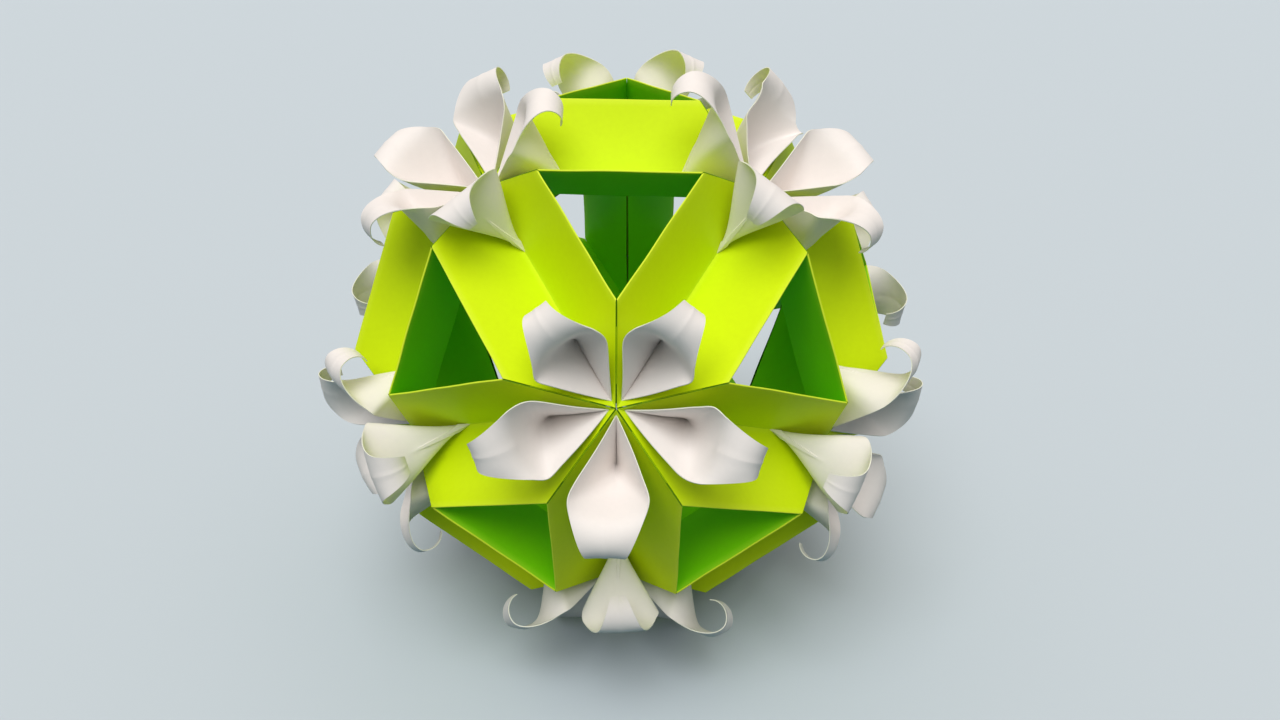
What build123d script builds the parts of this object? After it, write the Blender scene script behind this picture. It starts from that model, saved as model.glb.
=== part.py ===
from build123d import *
import os
from math import acos, asin, cos, degrees, radians, sin, sqrt, tan

# A kusudama paper ball: thirty folded paper units, one on each edge of an icosahedron.
# A unit is one strip of paper. It has a valley between two panels, a flap folded back
# under each panel, two tabs for its neighbours, and a curled petal over each end of the
# valley. Five units meet in each of the twelve flowers, and three frame each window.

# The folded strip, in mm and degrees
strip_width = 75.0        # half a 15 cm square, folded to its middle from both sides
crease_length = 58.4      # valley fold, from flower centre to flower centre
seam_angle = 56.0         # between the valley and a seam, at the flower centre
paper = 0.3               # thickness of a layer
fold_gap = 0.2            # air left inside the fold at a window edge
flap_spring = 4.3         # angle by which a flap springs away from its panel
pinhole_radius = 0.7      # opening where the five points of a flower meet
seam_clearance = 0.05     # from a unit's edge to the middle of the seam

# The tabs
tab_reach = 8.0           # how far a tab goes into the next unit
tab_root = 3.0            # length by which it is joined to its own panel
tab_top = 4.5             # from the window edge to the tab
tab_width = 10.0          # along the seam's side of the panel
tab_play = 0.05           # between the tab and the panel that it lies under

# The petals
petal_start = 1.2         # the petal's point, from the flower centre
petal_crease = 16.6       # end of its crease in the valley, from the flower centre
back_length = 18.4        # from the end of the crease up to the curl
back_angle = 109.2        # between the crease and the back
shoulder_half_width = 7.6
cup_depth = 2.45          # how far the rims stand in front of the back
wall_share = 0.85         # share of the rim that belongs to the wall
curl_radius = 4.15        # rolled round a pencil
curl_turn = 215.0
curl_steps = 6
tip_half_width = 1.85
tip_taper = 1.15          # above 1, the curl narrows late

# The ball that follows from them
golden = (1 + sqrt(5)) / 2
panel_height = strip_width / 4
mid_radius = crease_length * golden / 2
edge_half_angle = degrees(asin(1 / sqrt(golden * sqrt(5))))
window_tilt = degrees(acos(golden / sqrt(3)))
valley_lean = window_tilt + degrees(
    asin(golden * sin(radians(window_tilt)) / tan(radians(seam_angle))))


def section_point(along, under):
    """A point of the section, along a panel from the valley and under its outer face."""
    lean = radians(valley_lean)
    y = along * sin(lean) + under * cos(lean)
    z = mid_radius + along * cos(lean) - under * sin(lean)
    return y, z


def strip_section():
    """The doubled V: two panels from the valley, each with its flap folded under it."""
    fold_depth = 2 * paper + fold_gap
    fold_start = panel_height - fold_depth / 2
    spring = radians(flap_spring)
    flap_end = (fold_start - panel_height * cos(spring), fold_depth + panel_height * sin(spring))
    flap_end_inside = (flap_end[0] - paper * sin(spring), flap_end[1] - paper * cos(spring))
    side = [
        (fold_start, 0),
        (panel_height, fold_depth / 2),
        (fold_start, fold_depth),
        flap_end,
        flap_end_inside,
        (fold_start, paper + fold_gap),
        (fold_start, paper),
    ]
    right = [section_point(along, under) for along, under in side]
    left = [(-y, z) for y, z in reversed(right)]
    valley_under = (0, mid_radius - paper / sin(radians(valley_lean)))
    outline = [(0, mid_radius), *right, valley_under, *left]
    return Plane.YZ * make_face(Polyline(*outline, close=True))


def folded_strip():
    return extrude(strip_section(), amount=crease_length / 2, both=True)


def territory(clearance):
    """What a unit has to itself: the pyramid from the ball's centre between its seams."""
    to_flower = tan(radians(edge_half_angle))
    to_window = tan(radians(window_tilt))
    steepness = to_flower * to_window / sqrt(
        to_flower ** 2 + to_window ** 2 + (to_flower * to_window) ** 2)
    apex = clearance / steepness
    height = 2 * mid_radius
    base = Polyline(
        (height * to_flower, 0),
        (0, height * to_window),
        (-height * to_flower, 0),
        (0, -height * to_window),
        close=True,
    )
    return loft([Vertex(0, 0, apex), Pos(0, 0, apex + height) * make_face(base)])


def seam_plane():
    """The mirror between a unit and the neighbour that takes its tab."""
    flower = Vector(crease_length / 2, 0, mid_radius)
    window = Vector(0, sin(radians(window_tilt)), cos(radians(window_tilt)))
    return Plane(origin=(0, 0, 0), x_dir=flower, z_dir=flower.cross(window))


def tab_plate(length, top, bottom):
    """A plate under the panel's outer face, from the seam back along the panel."""
    slope = tan(radians(seam_angle))
    high = panel_height - tab_top
    low = high - tab_width
    past = length
    plate = make_face(Polyline(
        (crease_length / 2 - low / slope - length, low),
        (crease_length / 2 - low / slope + past, low),
        (crease_length / 2 - high / slope + past, high),
        (crease_length / 2 - high / slope - length, high),
        close=True,
    ))
    lean = radians(valley_lean)
    panel = Plane(origin=(0, 0, mid_radius), x_dir=(1, 0, 0), z_dir=(0, -cos(lean), sin(lean)))
    under = panel.offset(-bottom)
    return split(extrude(under * plate, amount=bottom - top, dir=panel.z_dir), seam_plane(), Keep.TOP)


def tab():
    """A strip that leaves its panel at the seam and lies under the next one."""
    depth = 2 * paper + tab_play
    root = tab_plate(tab_root, paper / 2, depth)
    tongue = tab_plate(tab_reach, paper + tab_play, depth)
    return root + mirror(tongue, seam_plane())


def petal_lines():
    """The petal's cross lines, from the flower centre: its keel point and its right rim."""
    rise = radians(back_angle)
    crease_end = Vector(petal_crease, 0, 0)
    inward = Vector(-sin(rise), 0, cos(rise))
    curl_start = crease_end + Vector(cos(rise), 0, sin(rise)) * back_length
    shoulder = curl_start + inward * cup_depth + Vector(0, shoulder_half_width, 0)
    lines = [
        (Vector(petal_start, 0, 0), shoulder * (petal_start / petal_crease)),
        (crease_end, shoulder * wall_share),
        (curl_start, shoulder),
    ]
    hub = curl_start - inward * curl_radius
    for step in range(1, curl_steps + 1):
        share = step / curl_steps
        facing = inward.rotate(Axis.Y, curl_turn * share)
        keel = hub + facing * curl_radius
        half_width = shoulder_half_width + (tip_half_width - shoulder_half_width) * share ** tip_taper
        lines.append((keel, keel + facing * cup_depth * (1 - share) ** 2 + Vector(0, half_width, 0)))
    return lines


def facet_normal(corners):
    first, second, third, fourth = corners
    return (third - first).cross(fourth - second).normalized()


def thickened(rows):
    """A closed solid of the paper's thickness round rows of right rim, keel and left rim."""
    cells = [(line, column) for line in range(len(rows) - 1) for column in (0, 1)]
    facing = {}
    for line, column in cells:
        around = [(line, column), (line, column + 1), (line + 1, column + 1), (line + 1, column)]
        normal = facet_normal([rows[near][side] for near, side in around])
        for spot in around:
            facing.setdefault(spot, []).append(normal)

    def skin(side):
        """The paper's front or back: each point moved out until it clears its facets."""
        moved = {}
        for (line, column), normals in facing.items():
            middle = sum(normals, Vector(0, 0, 0)).normalized()
            reach = sum(middle.dot(normal) for normal in normals) / len(normals)
            moved[line, column] = rows[line][column] + middle * (side * paper / 2 / reach)
        return moved

    front, back = skin(1), skin(-1)
    last = len(rows) - 1
    quads = []
    for line, column in cells:
        rim, keel = (line, 2 * column), (line, 1)
        next_rim, next_keel = (line + 1, 2 * column), (line + 1, 1)
        quads += [[face[spot] for spot in (rim, keel, next_keel, next_rim)] for face in (front, back)]
        quads.append([front[rim], front[next_rim], back[next_rim], back[rim]])
    for line in (0, last):
        for rim in (0, 2):
            quads.append([front[line, rim], front[line, 1], back[line, 1], back[line, rim]])
    faces = []
    for first, second, third, fourth in quads:
        faces.append(Face(Wire.make_polygon([first, second, third], close=True)))
        faces.append(Face(Wire.make_polygon([first, third, fourth], close=True)))
    return Solid(Shell(faces))


def petal():
    """The petal over the valley's left end: walls, back and curl."""
    rows = [(rim, keel, Vector(rim.X, -rim.Y, rim.Z)) for keel, rim in petal_lines()]
    return Pos(-crease_length / 2, 0, mid_radius) * thickened(rows)


def centre_opening():
    """What the pinhole takes off the unit's left end."""
    size = 4 * pinhole_radius + 2 * panel_height
    flower = Vector(-crease_length / 2, 0, mid_radius)
    across = Plane(origin=flower, x_dir=(0, 1, 0), z_dir=flower)
    return across * Pos(0, size / 2 - pinhole_radius, 0) * Box(size, size, size)


def half_turn(shape):
    return shape.rotate(Axis.Z, 180)


def folded_unit():
    """One unit, with its valley along X and the ball's centre at the origin."""
    sheet = folded_strip() + petal() + half_turn(petal())
    sheet = sheet & territory(seam_clearance)
    sheet -= centre_opening()
    sheet -= half_turn(centre_opening())
    return sheet + tab() + half_turn(tab())


def flower_directions():
    """The icosahedron's corners, turned so that a window faces straight up and one down."""
    upright = Plane(origin=(0, 0, 0), x_dir=(1 - golden, golden, -1), z_dir=(1, 1, 1))
    corners = []
    for short in (-1, 1):
        for long in (-golden, golden):
            corners += [(0, short, long), (short, long, 0), (long, 0, short)]
    return [upright.to_local_coords(Vector(*corner)).normalized() for corner in corners]


def unit_places():
    """A place for each pair of neighbouring flowers, from the top of the ball down."""
    flowers = flower_directions()
    nearest = 2 * radians(edge_half_angle)
    places = []
    for index, start in enumerate(flowers):
        for end in flowers[index + 1:]:
            if start.dot(end) > cos(nearest * 1.1):
                places.append(Plane(origin=(0, 0, 0), x_dir=end - start, z_dir=start + end))
    return sorted(places, key=lambda place: (-round(place.z_dir.Z, 3), place.z_dir.get_angle(Vector(0, -1, 0))))


def main():
    unit = folded_unit()
    units = [place * unit for place in unit_places()]
    rest = min(unit.bounding_box().min.Z for unit in units)
    os.makedirs("parts", exist_ok=True)
    for number, unit in enumerate(units, start=1):
        export_step(Pos(0, 0, -rest) * unit, f"parts/folded_unit_{number:02d}.step")


main()
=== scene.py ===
import bpy
import math
import random
import numpy as np
from mathutils import Matrix, Vector


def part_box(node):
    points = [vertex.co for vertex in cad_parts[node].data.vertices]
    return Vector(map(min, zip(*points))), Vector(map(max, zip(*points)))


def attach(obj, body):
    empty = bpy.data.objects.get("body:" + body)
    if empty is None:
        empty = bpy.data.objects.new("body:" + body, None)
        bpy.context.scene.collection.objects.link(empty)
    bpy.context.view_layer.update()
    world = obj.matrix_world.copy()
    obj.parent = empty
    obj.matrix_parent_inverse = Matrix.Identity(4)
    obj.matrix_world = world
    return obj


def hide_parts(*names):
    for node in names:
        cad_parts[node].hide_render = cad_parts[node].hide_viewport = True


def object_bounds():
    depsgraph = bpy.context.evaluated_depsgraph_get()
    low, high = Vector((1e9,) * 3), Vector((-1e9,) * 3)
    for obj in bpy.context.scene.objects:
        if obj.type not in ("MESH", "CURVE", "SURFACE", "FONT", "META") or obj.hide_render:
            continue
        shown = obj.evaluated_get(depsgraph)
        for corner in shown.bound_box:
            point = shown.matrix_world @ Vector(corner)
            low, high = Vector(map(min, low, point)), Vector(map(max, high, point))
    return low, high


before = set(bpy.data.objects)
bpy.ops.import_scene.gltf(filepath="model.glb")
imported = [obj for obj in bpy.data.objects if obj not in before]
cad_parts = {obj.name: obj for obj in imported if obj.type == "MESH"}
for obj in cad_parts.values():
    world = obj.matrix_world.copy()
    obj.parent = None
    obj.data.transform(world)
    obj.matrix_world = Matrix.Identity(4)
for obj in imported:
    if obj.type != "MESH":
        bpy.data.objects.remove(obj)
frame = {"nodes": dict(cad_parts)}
cad_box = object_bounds()

# The folded strip, in mm and degrees, as the solids have it
CREASE_LENGTH = 58.4
STRIP_WIDTH = 75.0
SEAM_ANGLE = 56.0
TAB_REACH = 8.0
TAB_ROOT = 3.0
TAB_TOP = 4.5
TAB_WIDTH = 10.0

# The paper as it is seen, thinner and folded more closely than in the solids
PAPER = 0.14
PETAL_PAPER = 0.2
FOLD_GAP = 0.12
SEAM_GAP = 0.11           # from a panel to the middle of its seam
INNER_GAP = 0.03          # from a flap to the middle of its seam, and from a tab to its panel
PINHOLE = 0.15            # radius of the opening where five valleys meet
FLAP_LENGTH = 19.9
FLAP_SPRING = 3.4

# How uneven the strip is: its ridge, its flap's edge and the belly of its panel
RIDGE_WAVE = 0.09
FLAP_WAVE = 0.15
BELLY = (-0.2, 0.3)
LONG_WAVE, SHORT_WAVE = (0.5, 1), (0.2, 0.6)    # least and most height, as shares of those
SHORT_WAVE_BENDS = 2.3    # for each bend of the long wave

# How far round a fold the paper carries a painted highlight, and the valley's share of that highlight
HIGHLIGHT_WIDTH = 0.2
VALLEY_HIGHLIGHT = 0.4

# How finely the paper is divided: along the valley, across a panel, a fold and a flap, and a tab
STATIONS = 41
PANEL_POINTS, FOLD_POINTS, FLAP_POINTS = 15, 7, 11
TAB_POINTS, TONGUE_POINTS = 4, 7

# The ball that follows from them
MM = 0.001
GOLDEN = (1 + math.sqrt(5)) / 2
PANEL_HEIGHT = STRIP_WIDTH / 4
MID_RADIUS = CREASE_LENGTH * GOLDEN / 2
EDGE_HALF_ANGLE = math.asin(1 / math.sqrt(GOLDEN * math.sqrt(5)))
WINDOW_TILT = math.acos(GOLDEN / math.sqrt(3))
VALLEY_LEAN = WINDOW_TILT + math.asin(
    GOLDEN * math.sin(WINDOW_TILT) / math.tan(math.radians(SEAM_ANGLE)))
CENTRE = Vector((0, 0, (cad_box[0].z + cad_box[1].z) / 2))
HALF_TURN = np.array([-1, -1, 1])    # times a point, for a unit's other end

# The flowers, on an icosahedron with a window up: height over its radius, and degrees from +X
TOP = math.sqrt((5 + 2 * math.sqrt(5)) / 15)
UPPER = math.sqrt((5 - 2 * math.sqrt(5)) / 15)
FLOWERS = {
    "front": (UPPER, 270), "low_front": (-TOP, 270),
    "high_left": (TOP, 210), "high_right": (TOP, 330),
    "left": (-UPPER, 210), "right": (-UPPER, 330),
    "left_back": (UPPER, 150), "right_back": (UPPER, 30),
    "high_back": (TOP, 90), "back": (-UPPER, 90),
    "low_left": (-TOP, 150), "low_right": (-TOP, 30),
}
NEIGHBOUR_COSINE = 0.4    # two flowers are neighbours above it
UNIT_MIDDLE = 1.1         # where a unit's box has its middle, over the radius to its valley
FIRST_SEED = 100

# How a petal is formed, in mm and degrees. Its crease ends where the back rises. The cup is how
# far its rims stand in front of the back. Its curl narrows to the tip, sooner with less taper.
# It leans to one side, and its back and curl are turned by the skew.
PETAL = dict(
    start=1.9, crease=17.2, rise=109.2, back=18.4, half_width=9.0, cup=2.6,
    radius=4.4, turn=215.0, tip=1.5, taper=0.6, lean=0.0, skew=0.0,
)

# The most by which a petal differs from that by chance
CHANCE = dict(
    start=0.2, crease=0.6, rise=2.5, back=0.8, half_width=0.35, cup=0.4,
    radius=0.45, turn=22.0, tip=0.3, taper=0.1, lean=1.5, skew=5.0,
)

# What stands out in the photograph: for a flower, the petals that point to other flowers
OWN_SHAPES = {
    "front": {
        "low_front": dict(lean=-3.6, back=19.1, half_width=8.5, taper=0.7, skew=0.0),
        "left": dict(lean=-4.1, rise=108.0, radius=4.6, half_width=8.8, skew=3.0, taper=0.52, tip=1.2),
        "right": dict(lean=4.0, rise=107.0, back=18.8, radius=4.9, half_width=8.4, taper=0.5, tip=1.8),
        "high_left": dict(lean=-1.5, rise=111.0, half_width=8.6, back=17.0, skew=4.0, taper=0.42),
        "high_right": dict(lean=4.0, rise=110.5, half_width=8.4, back=17.8, skew=-4.0, taper=0.42),
    },
    "high_left": {
        "front": dict(crease=18.0, lean=-6.0, rise=110.5, half_width=9.2, skew=-2.0,
                      radius=4.0, turn=190.0, tip=0.9, cup=2.2),
        "high_back": dict(lean=3.5, rise=114.0, back=18.8),
        "left_back": dict(lean=2.0, back=19.5, radius=4.9, half_width=8.6),
        "left": dict(crease=19.0, rise=120.0, back=19.2, radius=4.5),
        "high_right": dict(lean=0.0, rise=115.0, back=17.4, radius=3.9),
    },
    "high_right": {
        "front": dict(crease=17.6, lean=-2.5, rise=114.0),
        "high_back": dict(lean=-10.0, back=19.2, half_width=9.5, skew=-20.0),
        "right_back": dict(lean=2.0, back=19.9, radius=4.9, half_width=8.6),
        "right": dict(rise=115.0, back=19.2, radius=4.3),
        "high_left": dict(crease=17.6, back=20.7, radius=4.6, turn=200.0, half_width=8.0, lean=-0.5),
    },
    "left": {
        "front": dict(rise=113.0, back=20.4, lean=-1.5, half_width=9.8),
        "low_left": dict(lean=-9.0, crease=18.7),
        "left_back": dict(back=19.8, half_width=7.8),
        "high_left": dict(rise=117.5, back=17.9, radius=4.3, turn=250.0),
        "low_front": dict(rise=111.0, back=17.1, taper=0.5, turn=240.0, tip=0.8),
    },
    "right": {
        "high_right": dict(crease=19.0, back=20.0, radius=4.7),
        "right_back": dict(rise=114.0, back=19.6, half_width=8.2),
        "front": dict(lean=4.0, back=20.0),
        "low_right": dict(back=20.6, radius=4.8),
        "low_front": dict(taper=0.5, turn=230.0),
    },
    "high_back": {
        "high_left": dict(rise=103.0, lean=-3.0, back=17.5, radius=4.9),
        "high_right": dict(rise=113.0, back=18.0, radius=5.0, turn=225.0),
    },
    "left_back": {
        "left": dict(rise=110.0, back=18.0, radius=4.2),
    },
    "right_back": {
        "right": dict(rise=109.5, back=19.6, radius=4.9, turn=210.0),
    },
    "low_front": {
        "front": dict(lean=-2.6, back=18.0, radius=5.2, half_width=9.2, taper=0.8),
        "left": dict(crease=19.2, rise=117.0, back=19.5, turn=235.0),
        "right": dict(crease=18.6, rise=114.5, back=20.4, radius=4.4, half_width=8.2, turn=265.0),
    },
}

# A petal's rows, up its walls, up its back and round its curl
WALL_ROWS, BACK_ROWS, CURL_ROWS = 18, 20, 34
WALL_SHARE = 0.86         # share of the rim, up to the shoulder, that belongs to the wall
CURL_TIGHTENING = 0.12    # share by which the curl's radius shrinks towards its tip
CUP_FADE = 4              # how soon the curl loses the petal's cup

# How a petal's section bends: creased at the keel below 1, and a round trough at 2
CREASE_BEND, FOLD_BEND, CURL_BEND = 0.72, 0.92, 2.0
OPENS_FROM = 0.55         # share of the wall from which the crease opens
ROUND_FROM = 0.625        # share of the back from which it is a round trough

# Where a petal's columns are beside its pleat, as shares of the way from keel to rim
COLUMN_SHARES = (0.15, *np.linspace(0.22, 1, 9))
KEEL_REACH = 0.25         # share of that way up to which the keel stays sharper

# How softly a petal is formed: passes of easing, and how many rows on either side they ease
# fully and reach at all
SHOULDER_PASSES, SHOULDER_ROWS = 130, (7.5, 22.5)
SHOULDER_SHIFT = 3        # rows by which the middle of that easing comes before the shoulder
FOLD_PASSES, FOLD_ROWS = 26, (3.6, 15.6)
FOLD_SPREAD = 0.7         # below 1, the fold is eased almost up to the keel
KEEL_PASSES = 6

# The pleat that runs up the outside of a petal's back: its half width as a share of the way to
# the rim, its length as a share of the back, and its height. Then, as shares of itself, its flat
# top, how much it narrows, and over how much of its length it fades.
PLEAT_SHARE, PLEAT_LENGTH, PLEAT_HEIGHT = 0.085, 0.65, 0.3
PLEAT_TOP, PLEAT_NARROWING, PLEAT_FADE = 0.75, 0.6, 0.25

# The papers, in the order of their slots: colour, colour under the painted fold highlight, roughness
# and grain. The inside green is the same paper in painted shade, and the edge green is darkened with
# painted shade for the seams.
GREEN, SHADED_GREEN, WHITE, SHADED_GREEN_EDGE, WHITE_EDGE = range(5)
PAPERS = [
    ("green_paper", (216, 242, 2), (226, 246, 60), 0.55, 0.05),
    # The same green paper, made deeper as painted shade for the inside of the ball
    ("green_painted_shade", (140, 236, 2), (200, 240, 60), 0.55, 0.05),
    ("white_paper", (244, 238, 234), (244, 238, 234), 0.6, 0.03),
    # The green darkened with painted shade, so that cut edges and seams read as dark lines
    ("green_edge_painted_shade", (104, 158, 2), (104, 158, 2), 0.6, 0.06),
    ("petal_edge", (238, 238, 222), (238, 238, 222), 0.6, 0.03),
]
FIBRE_SCALE, CLOUD_SCALE = 900.0, 45.0
SHARP_FOLD = 32           # an edge that bends by more degrees is drawn as a fold
LEAST_FLATNESS = 0.45     # limits how much thicker the paper is drawn where it bends
TINY = 1e-12              # so that nothing is divided by 0

# The stage, in metres: what the eye sees, and the light that it throws on the ball
FLOOR_REACH = 3.0
FLOOR_SEEN, FLOOR_BOUNCED = (196, 208, 216), (16, 80, 92)
WORLD_SEEN = (0.8, 0.85, 0.9)
HORIZON_LIGHT, OVERHEAD_LIGHT = (0.17, 0.215, 0.21), (0.67, 0.58, 0.52)
LAMP_STRENGTH, LAMP_ANGLE, LAMP_FROM = 2.12, 45, (-0.10, -0.50, 0.86)

# The camera: its angles in degrees, its place in its own axes in mm from the ball's centre, its
# sensor and lens in mm, and the nearest that it sees in metres
ELEVATION, AZIMUTH, ROLL = 25.1, 0.24, 0.86
CAMERA_PLACE = (4.2, -4.2, 245.6)
SENSOR, LENS = 36.0, 27.76
NEAREST = 0.01

# The sockets of a mix of colours and of a mix of numbers: first, second and result
FIRST_COLOUR, SECOND_COLOUR, MIXED_COLOUR = 6, 7, 2
FIRST_NUMBER, SECOND_NUMBER, MIXED_NUMBER = 2, 3, 0


def smooth_step(value):
    value = np.clip(value, 0, 1)
    return value * value * (3 - 2 * value)


def facet_normals(grid):
    along = grid[1:, 1:] - grid[:-1, :-1]
    beside = grid[1:, :-1] - grid[:-1, 1:]
    facets = np.cross(along, beside)
    return facets / (np.linalg.norm(facets, axis=2, keepdims=True) + TINY)


def point_normals(grid):
    """The way out at each point, longer where the sheet bends, so that it keeps its thickness."""
    rows, columns = grid.shape[:2]
    facets = facet_normals(grid)
    total = np.zeros_like(grid)
    for down in (0, 1):
        for right in (0, 1):
            total[down:rows - 1 + down, right:columns - 1 + right] += facets
    length = np.linalg.norm(total, axis=2, keepdims=True)
    # Four facets meet at a point inside the sheet, two at its edge and one at its corner
    facets_round = np.full((rows, columns, 1), 4.0)
    facets_round[[0, -1]] /= 2
    facets_round[:, [0, -1]] /= 2
    flatness = np.clip(length / facets_round, LEAST_FLATNESS, 1)
    return total / (length + TINY) / flatness


def border(rows, columns):
    """The places along a grid's edge, once round."""
    places = [(0, column) for column in range(columns)]
    places += [(row, columns - 1) for row in range(1, rows)]
    places += [(rows - 1, column) for column in range(columns - 2, -1, -1)]
    places += [(row, 0) for row in range(rows - 2, 0, -1)]
    return places


class Sheet:
    """The points and faces of one folded unit, in its own place in mm."""

    def __init__(self):
        self.points, self.faces, self.slots, self.wear = [], [], [], []

    def add(self, grid, thickness, paper, edge, wear=0, raised=0):
        """Paper along a grid of points: the slots of its columns and of its edge, its painted fold
        highlight and its relief.
        """
        rows, columns = grid.shape[:2]
        papers = np.broadcast_to(paper, columns - 1)
        normals = point_normals(grid)
        outer = (thickness / 2 + np.broadcast_to(raised, (rows, columns)))[..., None]
        first = len(self.points)
        self.points += list((grid + normals * outer).reshape(-1, 3))
        self.points += list((grid - normals * thickness / 2).reshape(-1, 3))
        # Each point keeps its share of the painted highlight along the folds
        self.wear += list(np.broadcast_to(wear, (rows, columns)).reshape(-1)) * 2

        def front(row, column):
            return first + row * columns + column

        def back(row, column):
            return front(row, column) + rows * columns

        for row in range(rows - 1):
            for column in range(columns - 1):
                cell = [(row, column), (row, column + 1), (row + 1, column + 1), (row + 1, column)]
                self.faces.append([front(*spot) for spot in reversed(cell)])
                self.faces.append([back(*spot) for spot in cell])
                self.slots += [papers[column]] * 2
        places = border(rows, columns)
        for here, there in zip(places, places[1:] + places[:1]):
            self.faces.append([front(*here), front(*there), back(*there), back(*here)])
            self.slots.append(edge)


def seam_normal(end):
    """The direction across a seam, between the flower at a unit's end and a window."""
    flower = np.array([end * CREASE_LENGTH / 2, 0, MID_RADIUS])
    window = np.array([0, math.sin(WINDOW_TILT), math.cos(WINDOW_TILT)])
    normal = np.cross(flower, window)
    return normal / np.linalg.norm(normal)


def seam_reach(across, height, gap):
    """Half the length that a unit has at a place in its section, up to seam and pinhole."""
    normal = seam_normal(-1)
    seam = (normal[1] * np.abs(across) + normal[2] * height + gap) / normal[0]
    climb = (height - MID_RADIUS) * math.sin(EDGE_HALF_ANGLE)
    pinhole = CREASE_LENGTH / 2 - (PINHOLE - climb) / math.cos(EDGE_HALF_ANGLE)
    return np.minimum(seam, pinhole)


def section_place(along, depth):
    """Across and up, for a place along a panel from the valley and under its outer face."""
    across = along * math.sin(VALLEY_LEAN) + depth * math.cos(VALLEY_LEAN)
    height = MID_RADIUS + along * math.cos(VALLEY_LEAN) - depth * math.sin(VALLEY_LEAN)
    return across, height


def strip_line():
    """Half the strip in section: way along the panel, depth under it, and share of the flap."""
    middle = PAPER / 2
    fold_radius = (FOLD_GAP + PAPER) / 2
    fold_start = PANEL_HEIGHT - fold_radius - middle
    line = [(-middle / math.tan(VALLEY_LEAN), middle, 0)]
    line += [(along, middle, 0) for along in np.linspace(0, fold_start, PANEL_POINTS)[1:]]
    for angle in np.linspace(0, math.pi, FOLD_POINTS)[1:]:
        along = fold_start + fold_radius * math.sin(angle)
        line.append((along, middle + fold_radius * (1 - math.cos(angle)), 0))
    spring = math.radians(FLAP_SPRING)
    for share in np.linspace(0, 1, FLAP_POINTS)[1:]:
        run = share * FLAP_LENGTH
        depth = middle + 2 * fold_radius + run * math.sin(spring)
        line.append((fold_start - run * math.cos(spring), depth, share))
    return np.array(line)


def wave(chance, spots, size):
    """A gentle unevenness along a fold, nothing at its two ends."""
    phase_one, phase_two = chance.uniform(0, math.tau), chance.uniform(0, math.tau)
    long_wave = np.sin(math.pi * spots + phase_one) * chance.uniform(*LONG_WAVE)
    short_wave = np.sin(SHORT_WAVE_BENDS * math.pi * spots + phase_two) * chance.uniform(*SHORT_WAVE)
    return size * (1 - spots ** 4) * (long_wave + short_wave)


def fold_highlight_amount(along):
    """How strong a panel's painted highlight is: most at the window edge, and less in the valley."""
    at_edge = math.exp(-((PANEL_HEIGHT - along) / HIGHLIGHT_WIDTH) ** 2)
    in_valley = VALLEY_HIGHLIGHT * math.exp(-(along / HIGHLIGHT_WIDTH) ** 2)
    return max(at_edge, in_valley)


def half_strip(chance, spots, side):
    """A panel and its flap: a line of points along the unit for each place in the section."""
    ridge = wave(chance, spots, RIDGE_WAVE)
    flap_edge = wave(chance, spots, FLAP_WAVE)
    belly = chance.uniform(*BELLY)
    lines, wear = [], []
    for along, under, flap in strip_line():
        share = np.clip(along / PANEL_HEIGHT, 0, 1)
        if flap == 0:
            lift = ridge * share ** 2 + belly * math.sin(math.pi * share) * (1 - spots ** 2)
            gap = SEAM_GAP
            # The panel gets a painted highlight along its window fold and its valley
            wear.append(fold_highlight_amount(along))
        else:
            lift = ridge * (1 - flap) + flap_edge * flap
            gap = INNER_GAP
            wear.append(0)
        across, height = section_place(along, under - lift)
        reach = seam_reach(across, height, gap)
        lines.append(np.stack([spots * reach, side * across, height], axis=1))
    return lines, wear


def add_strip(sheet, chance):
    """The valley, the two panels and the two flaps, as one sheet."""
    spots = np.sin(np.linspace(-math.pi / 2, math.pi / 2, STATIONS))
    left, left_highlight = half_strip(chance, spots, -1)
    right, right_highlight = half_strip(chance, spots, 1)
    grid = np.stack(left[::-1] + right[1:], axis=1)
    on_flap = strip_line()[1:, 2] > 0
    # The flaps, seen inside the ball, take the copy of the green in painted shade
    paper = np.where(np.concatenate([on_flap[::-1], on_flap]), SHADED_GREEN, GREEN)
    # The cut edges take the green darkened with painted shade
    sheet.add(grid, PAPER, paper, SHADED_GREEN_EDGE, wear=left_highlight[::-1] + right_highlight[1:])


def mirrored(points, normal):
    return points - 2 * (points @ normal)[..., None] * normal


def add_tab(sheet, turned):
    """A tongue from one seam, bent over the ridge and slid into the next unit's pocket."""
    normal = seam_normal(1)
    depth = PAPER + INNER_GAP + PAPER / 2
    rows = []
    for share in np.linspace(0, 1, TAB_POINTS):
        across, height = section_place(PANEL_HEIGHT - TAB_TOP - share * TAB_WIDTH, depth)
        seam = seam_reach(across, height, 0)
        row = []
        for back in np.linspace(TAB_ROOT, 0, TAB_POINTS):
            row.append(np.array([seam - back, across, height]))
        for on in np.linspace(0, TAB_REACH, TONGUE_POINTS)[1:]:
            row.append(mirrored(np.array([seam - on, across, height]), normal))
        rows.append(row)
    grid = np.array(rows)
    if turned:
        grid = grid * HALF_TURN
    sheet.add(grid, PAPER, GREEN, SHADED_GREEN_EDGE)


def wall_rows(shape, crease_end, shoulder):
    """The walls: keel and rim fan out from the petal's point."""
    point = np.array([shape["start"], 0.0])
    for share in np.linspace(0, 1, WALL_ROWS, endpoint=False):
        keel = point + (crease_end - point) * share
        rim = point + (shoulder * WALL_SHARE - point) * share
        width = shape["half_width"] * WALL_SHARE * share
        opening = smooth_step((share - OPENS_FROM) / (1 - OPENS_FROM))
        yield keel, rim, width, CREASE_BEND + (FOLD_BEND - CREASE_BEND) * opening


def back_rows(shape, crease_end, curl_start, shoulder):
    """The back, from the end of the crease up to the curl."""
    for share in np.linspace(0, 1, BACK_ROWS, endpoint=False):
        on_rim = WALL_SHARE + (1 - WALL_SHARE) * share
        keel = crease_end + (curl_start - crease_end) * share
        bend = FOLD_BEND + (CURL_BEND - FOLD_BEND) * smooth_step(share / ROUND_FROM)
        yield keel, shoulder * on_rim, shape["half_width"] * on_rim, bend


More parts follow.
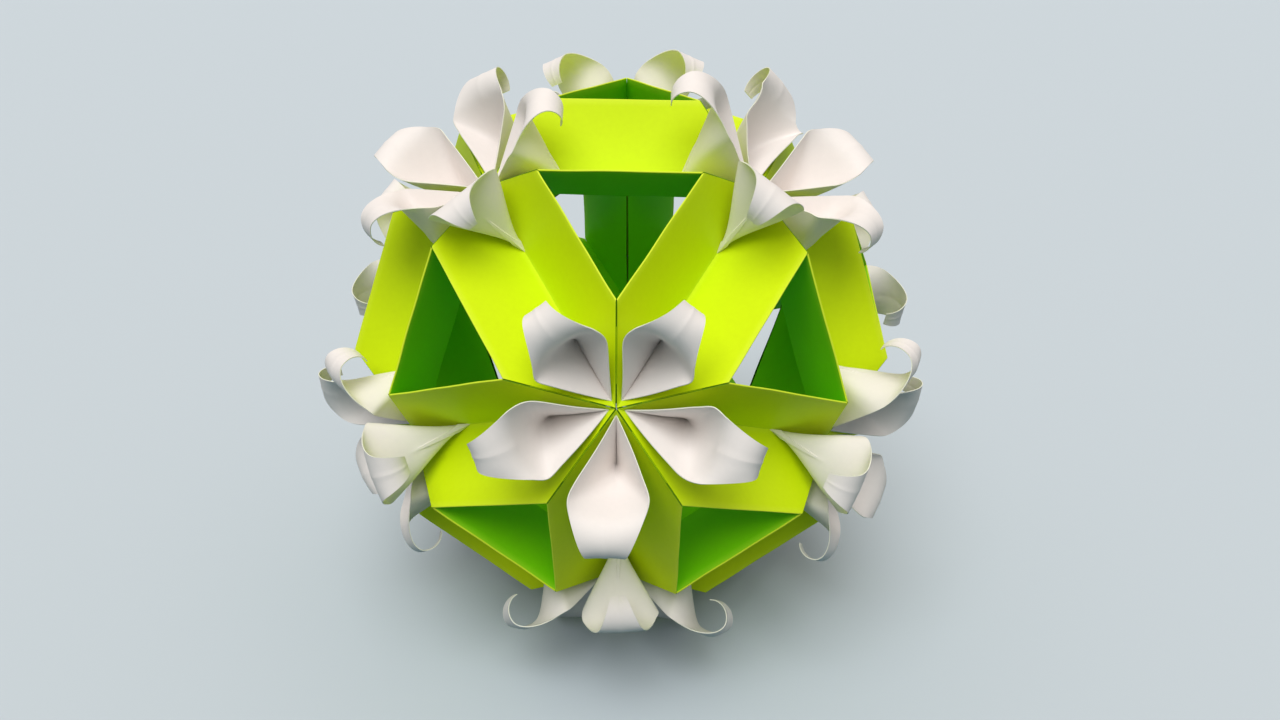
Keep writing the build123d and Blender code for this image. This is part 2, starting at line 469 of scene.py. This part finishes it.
def curl_rows(shape, curl_start, inward):
    """The curl, rolled outward round its hub and narrowing to its tip."""
    hub = curl_start - inward * shape["radius"]
    narrowing = shape["tip"] - shape["half_width"]
    for share in np.linspace(0, 1, CURL_ROWS):
        angle = -math.radians(shape["turn"]) * share
        facing = np.array([
            inward[0] * math.cos(angle) - inward[1] * math.sin(angle),
            inward[0] * math.sin(angle) + inward[1] * math.cos(angle),
        ])
        keel = hub + facing * shape["radius"] * (1 - CURL_TIGHTENING * share)
        rim = keel + facing * shape["cup"] * (1 - share) ** CUP_FADE
        yield keel, rim, shape["half_width"] + narrowing * share ** shape["taper"], CURL_BEND


def petal_rows(shape):
    """Rows along a petal: the keel and the rim, side on, the half width and the bend."""
    rise = math.radians(shape["rise"])
    inward = np.array([-math.sin(rise), math.cos(rise)])
    crease_end = np.array([shape["crease"], 0.0])
    curl_start = crease_end + np.array([math.cos(rise), math.sin(rise)]) * shape["back"]
    shoulder = curl_start + inward * shape["cup"]
    rows = [
        *wall_rows(shape, crease_end, shoulder),
        *back_rows(shape, crease_end, curl_start, shoulder),
        *curl_rows(shape, curl_start, inward),
    ]
    return [np.array(values) for values in zip(*rows)]


def eased(values, passes, where=None):
    """Rows averaged with their neighbours, the ends kept, and only where the mask says."""
    result = values.copy()
    weight = 1 if where is None else where[1:-1, None]
    for _ in range(passes):
        average = (result[:-2] + 2 * result[1:-1] + result[2:]) / 4
        result[1:-1] += (average - result[1:-1]) * weight
    return result


def near(row, rows, reach):
    """A mask for rows: whole round one row, and nothing far from it."""
    full, faded = reach
    return smooth_step((faded - np.abs(np.arange(rows) - row)) / (faded - full))


def up_pleat(rows):
    """The way up the pleat for each row, from 0 at the end of the crease to 1."""
    return np.clip((np.arange(rows) - WALL_ROWS) / BACK_ROWS / PLEAT_LENGTH, 0, 1)


def column_shares(rows):
    """For each column from keel to rim, its share of that way in each row."""
    pleat = PLEAT_SHARE * (1 - PLEAT_NARROWING * up_pleat(rows))
    beside = [np.full(rows, share) for share in COLUMN_SHARES]
    return [pleat * 0, pleat * PLEAT_TOP, pleat, *beside]


def pleat_relief(rows, columns):
    """How far the paper stands out of the back: only the keel and the columns beside it."""
    on_back = np.arange(rows) >= WALL_ROWS
    height = PLEAT_HEIGHT * on_back * smooth_step((1 - up_pleat(rows)) / PLEAT_FADE)
    relief = np.zeros((rows, columns))
    keel = columns // 2
    relief[:, keel - 1:keel + 2] = height[:, None]
    return relief


def petal_grid(shape):
    """The petal's middle surface, with columns from rim to rim."""
    keel, rim, width, bend = petal_rows(shape)
    rows = len(keel)
    shoulder = WALL_ROWS + BACK_ROWS - SHOULDER_SHIFT
    near_shoulder = near(shoulder, rows, SHOULDER_ROWS)
    near_fold = near(WALL_ROWS, rows, FOLD_ROWS)
    rim_line = eased(np.column_stack([rim, width]), SHOULDER_PASSES, near_shoulder)
    rim, width = rim_line[:, :2], rim_line[:, 2]
    soft_keel = eased(keel, KEEL_PASSES)
    right = []
    for share in column_shares(rows):
        softness = np.clip(share / KEEL_REACH, 0, 1)[:, None]
        base = keel * (1 - softness) + soft_keel * softness
        side_on = base + (rim - base) * (share ** bend)[:, None]
        column = np.column_stack([side_on[:, 0], width * share, side_on[:, 1]])
        passes = round(FOLD_PASSES * share[-1] ** FOLD_SPREAD)
        right.append(eased(column, passes, near_fold))
    left = [column * np.array([1, -1, 1]) for column in right[:0:-1]]
    return np.stack(left + right, axis=1)


def skewed(grid, shape):
    """The back and the curl, turned in the back's own plane."""
    rows, columns = grid.shape[:2]
    row = np.arange(rows)
    rise = math.radians(shape["rise"])
    facing = np.array([-math.sin(rise), 0, math.cos(rise)])
    skew = math.radians(shape["skew"]) * smooth_step((row - WALL_ROWS) / BACK_ROWS)
    cosine, sine = np.cos(skew)[:, None, None], np.sin(skew)[:, None, None]
    pivots = grid[np.minimum(row, WALL_ROWS + BACK_ROWS), columns // 2][:, None]
    rest = grid - pivots
    along_facing = (rest @ facing)[..., None] * facing
    return pivots + rest * cosine + np.cross(facing, rest) * sine + along_facing * (1 - cosine)


def add_petal(sheet, shape, turned):
    grid = skewed(petal_grid(shape), shape)
    relief = pleat_relief(*grid.shape[:2])
    lean = math.tan(math.radians(shape["lean"])) * smooth_step(np.arange(len(grid)) / WALL_ROWS)
    grid[..., 1] += grid[..., 2] * lean[:, None]
    grid[..., 0] -= CREASE_LENGTH / 2
    grid[..., 2] += MID_RADIUS
    if turned:
        grid = grid * HALF_TURN
    sheet.add(grid, PETAL_PAPER, WHITE, WHITE_EDGE, raised=relief)


def flower_direction(name):
    height, bearing = FLOWERS[name]
    reach = math.sqrt(1 - height ** 2)
    bearing = math.radians(bearing)
    return Vector((reach * math.cos(bearing), reach * math.sin(bearing), height))


def unit_edges():
    """The pairs of flowers that a unit joins, and each unit's axes."""
    names = list(FLOWERS)
    edges = []
    for index, start in enumerate(names):
        for end in names[index + 1:]:
            here, there = flower_direction(start), flower_direction(end)
            if here.dot(there) > NEIGHBOUR_COSINE:
                across = (there - here).normalized()
                out = (here + there).normalized()
                edges.append((start, end, across, out.cross(across), out))
    return edges


def node_of(out):
    """The solid whose box has its middle nearest to a unit's place."""
    place = CENTRE + out * MID_RADIUS * UNIT_MIDDLE * MM

    def distance(name):
        low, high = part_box(name)
        return ((low + high) / 2 - place).length

    return min(frame["nodes"], key=distance)


def petal_shape(chance, start, end):
    """How the petal of a flower that points to another is formed."""
    shape = dict(PETAL)
    for name, most in CHANCE.items():
        shape[name] += chance.uniform(-most, most)
    shape.update(OWN_SHAPES.get(start, {}).get(end, {}))
    return shape


def srgb(red, green, blue):
    def linear(value):
        value /= 255
        return value / 12.92 if value <= 0.04045 else ((value + 0.055) / 1.055) ** 2.4
    return tuple(linear(value) for value in (red, green, blue))


def add_node(tree, kind, **values):
    """A shader node with its settings, or its inputs where it has no such setting."""
    made = tree.nodes.new(kind)
    for name, value in values.items():
        if hasattr(made, name):
            setattr(made, name, value)
        else:
            made.inputs[name.replace("_", " ")].default_value = value
    return made


def mix_colours(tree, first=(0, 0, 0), second=(0, 0, 0), blend="MIX"):
    made = add_node(tree, "ShaderNodeMix", data_type="RGBA", blend_type=blend)
    made.inputs[FIRST_COLOUR].default_value = (*first, 1)
    made.inputs[SECOND_COLOUR].default_value = (*second, 1)
    return made


def paper_material(name, colour, highlight_colour, roughness, grain):
    """Plain paper: fine fibre, a little uneven in colour, with a painted highlight where it is folded.
    """
    material = bpy.data.materials.new(name)
    material.use_nodes = True
    tree = material.node_tree
    link = tree.links.new
    shader = tree.nodes["Principled BSDF"]
    shader.inputs["Roughness"].default_value = roughness
    shader.inputs["Specular IOR Level"].default_value = 0.2

    coordinates = add_node(tree, "ShaderNodeTexCoord")
    fibre = add_node(tree, "ShaderNodeTexNoise", Scale=FIBRE_SCALE, Detail=3.0)
    cloud = add_node(tree, "ShaderNodeTexNoise", Scale=CLOUD_SCALE, Detail=2.0)
    link(coordinates.outputs["Object"], fibre.inputs["Vector"])
    link(coordinates.outputs["Object"], cloud.inputs["Vector"])

    both = add_node(tree, "ShaderNodeMix", data_type="FLOAT")
    both.inputs[0].default_value = 0.5
    link(fibre.outputs["Fac"], both.inputs[FIRST_NUMBER])
    link(cloud.outputs["Fac"], both.inputs[SECOND_NUMBER])
    tone = add_node(
        tree, "ShaderNodeMapRange", From_Min=0.3, From_Max=0.7, To_Min=1 - grain, To_Max=1.0)
    link(both.outputs[MIXED_NUMBER], tone.inputs["Value"])

    shade = mix_colours(tree, first=srgb(*colour), blend="MULTIPLY")
    shade.inputs[0].default_value = 1.0
    link(tone.outputs["Result"], shade.inputs[SECOND_COLOUR])
    # Lightens the colour where the painted fold highlight lies
    wear = add_node(tree, "ShaderNodeAttribute", attribute_name="wear")
    final = mix_colours(tree, second=srgb(*highlight_colour))
    link(wear.outputs["Fac"], final.inputs[0])
    link(shade.outputs[MIXED_COLOUR], final.inputs[FIRST_COLOUR])
    link(final.outputs[MIXED_COLOUR], shader.inputs["Base Color"])

    bump = add_node(tree, "ShaderNodeBump", Strength=0.12, Distance=0.0001)
    link(fibre.outputs["Fac"], bump.inputs["Height"])
    link(bump.outputs["Normal"], shader.inputs["Normal"])
    return material


def folded_sheet(chance, start, end):
    """One unit's paper, from the first flower to the second."""
    sheet = Sheet()
    add_strip(sheet, chance)
    add_tab(sheet, False)
    add_tab(sheet, True)
    add_petal(sheet, petal_shape(chance, start, end), False)
    add_petal(sheet, petal_shape(chance, end, start), True)
    return sheet


def sheet_mesh(name, sheet, points, materials):
    mesh = bpy.data.meshes.new(name)
    mesh.from_pydata(points.tolist(), [], sheet.faces)
    for material in materials:
        mesh.materials.append(material)
    mesh.polygons.foreach_set("material_index", sheet.slots)
    mesh.polygons.foreach_set("use_smooth", [True] * len(sheet.faces))
    # Each point's share of the painted highlight along the folds
    wear = mesh.attributes.new("wear", "FLOAT", "POINT")
    wear.data.foreach_set("value", sheet.wear)
    mesh.set_sharp_from_angle(angle=math.radians(SHARP_FOLD))
    return mesh


def build_units():
    materials = [paper_material(*paper) for paper in PAPERS]
    for number, (start, end, across, side, out) in enumerate(unit_edges()):
        sheet = folded_sheet(random.Random(FIRST_SEED + number), start, end)
        axes = np.array([across, side, out])
        points = (np.array(sheet.points) @ axes) * MM + np.array(CENTRE)
        node = node_of(out)
        mesh = sheet_mesh(f"paper_{node}", sheet, points, materials)
        piece = bpy.data.objects.new(f"paper_{node}", mesh)
        bpy.context.collection.objects.link(piece)
        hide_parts(node)
        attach(piece, "root")


def seen_or_bounced(tree, seen, bounced=(0, 0, 0)):
    """A colour for the eye, and another for the light that is thrown on the ball."""
    path = add_node(tree, "ShaderNodeLightPath")
    seen_rays = add_node(tree, "ShaderNodeMath", operation="MAXIMUM")
    tree.links.new(path.outputs["Is Camera Ray"], seen_rays.inputs[0])
    tree.links.new(path.outputs["Is Glossy Ray"], seen_rays.inputs[1])
    colour = mix_colours(tree, first=bounced, second=seen)
    tree.links.new(seen_rays.outputs[0], colour.inputs[0])
    return colour


def set_floor():
    low, high = -FLOOR_REACH, FLOOR_REACH
    corners = [(low, low, 0), (high, low, 0), (high, high, 0), (low, high, 0)]
    floor = bpy.data.meshes.new("floor")
    floor.from_pydata(corners, [], [(0, 1, 2, 3)])
    plate = bpy.data.objects.new("floor", floor)
    bpy.context.collection.objects.link(plate)
    paint = bpy.data.materials.new("floor_paint")
    paint.use_nodes = True
    shader = paint.node_tree.nodes["Principled BSDF"]
    colour = seen_or_bounced(paint.node_tree, srgb(*FLOOR_SEEN), srgb(*FLOOR_BOUNCED))
    paint.node_tree.links.new(colour.outputs[MIXED_COLOUR], shader.inputs["Base Color"])
    shader.inputs["Roughness"].default_value = 0.9
    floor.materials.append(paint)


def set_world():
    """A pale room for the eye. Its light is dim at the horizon and bright overhead."""
    world = bpy.data.worlds.new("room")
    world.use_nodes = True
    tree = world.node_tree
    background = tree.nodes["Background"]
    colour = seen_or_bounced(tree, WORLD_SEEN)
    sky = mix_colours(tree, first=HORIZON_LIGHT, second=OVERHEAD_LIGHT)
    direction = add_node(tree, "ShaderNodeTexCoord")
    height = add_node(tree, "ShaderNodeSeparateXYZ")
    tree.links.new(direction.outputs["Generated"], height.inputs[0])
    tree.links.new(height.outputs["Z"], sky.inputs[0])
    tree.links.new(sky.outputs[MIXED_COLOUR], colour.inputs[FIRST_COLOUR])
    tree.links.new(colour.outputs[MIXED_COLOUR], background.inputs["Color"])
    background.inputs["Strength"].default_value = 1.0
    bpy.context.scene.world = world


def set_lamp():
    """One wide, soft light from above the front."""
    lamp = bpy.data.lights.new("softbox", "SUN")
    lamp.energy = LAMP_STRENGTH
    lamp.angle = math.radians(LAMP_ANGLE)
    holder = bpy.data.objects.new("softbox", lamp)
    holder.rotation_euler = Vector(LAMP_FROM).to_track_quat("Z", "Y").to_euler()
    bpy.context.collection.objects.link(holder)


def set_camera():
    """The photograph's view: from the front, a little above, close to the ball."""
    data = bpy.data.cameras.new("camera")
    data.sensor_width = SENSOR
    data.lens = LENS
    data.clip_start = NEAREST
    turn = Matrix.Rotation(math.radians(AZIMUTH), 4, "Z")
    turn = turn @ Matrix.Rotation(math.radians(90 - ELEVATION), 4, "X")
    turn = turn @ Matrix.Rotation(math.radians(ROLL), 4, "Z")
    camera = bpy.data.objects.new("camera", data)
    offset = turn.to_3x3() @ Vector(CAMERA_PLACE) * MM
    camera.matrix_world = Matrix.Translation(CENTRE + offset) @ turn
    bpy.context.collection.objects.link(camera)
    bpy.context.scene.camera = camera


build_units()
set_floor()
set_world()
set_lamp()
set_camera()
bpy.context.scene.view_settings.view_transform = "Standard"
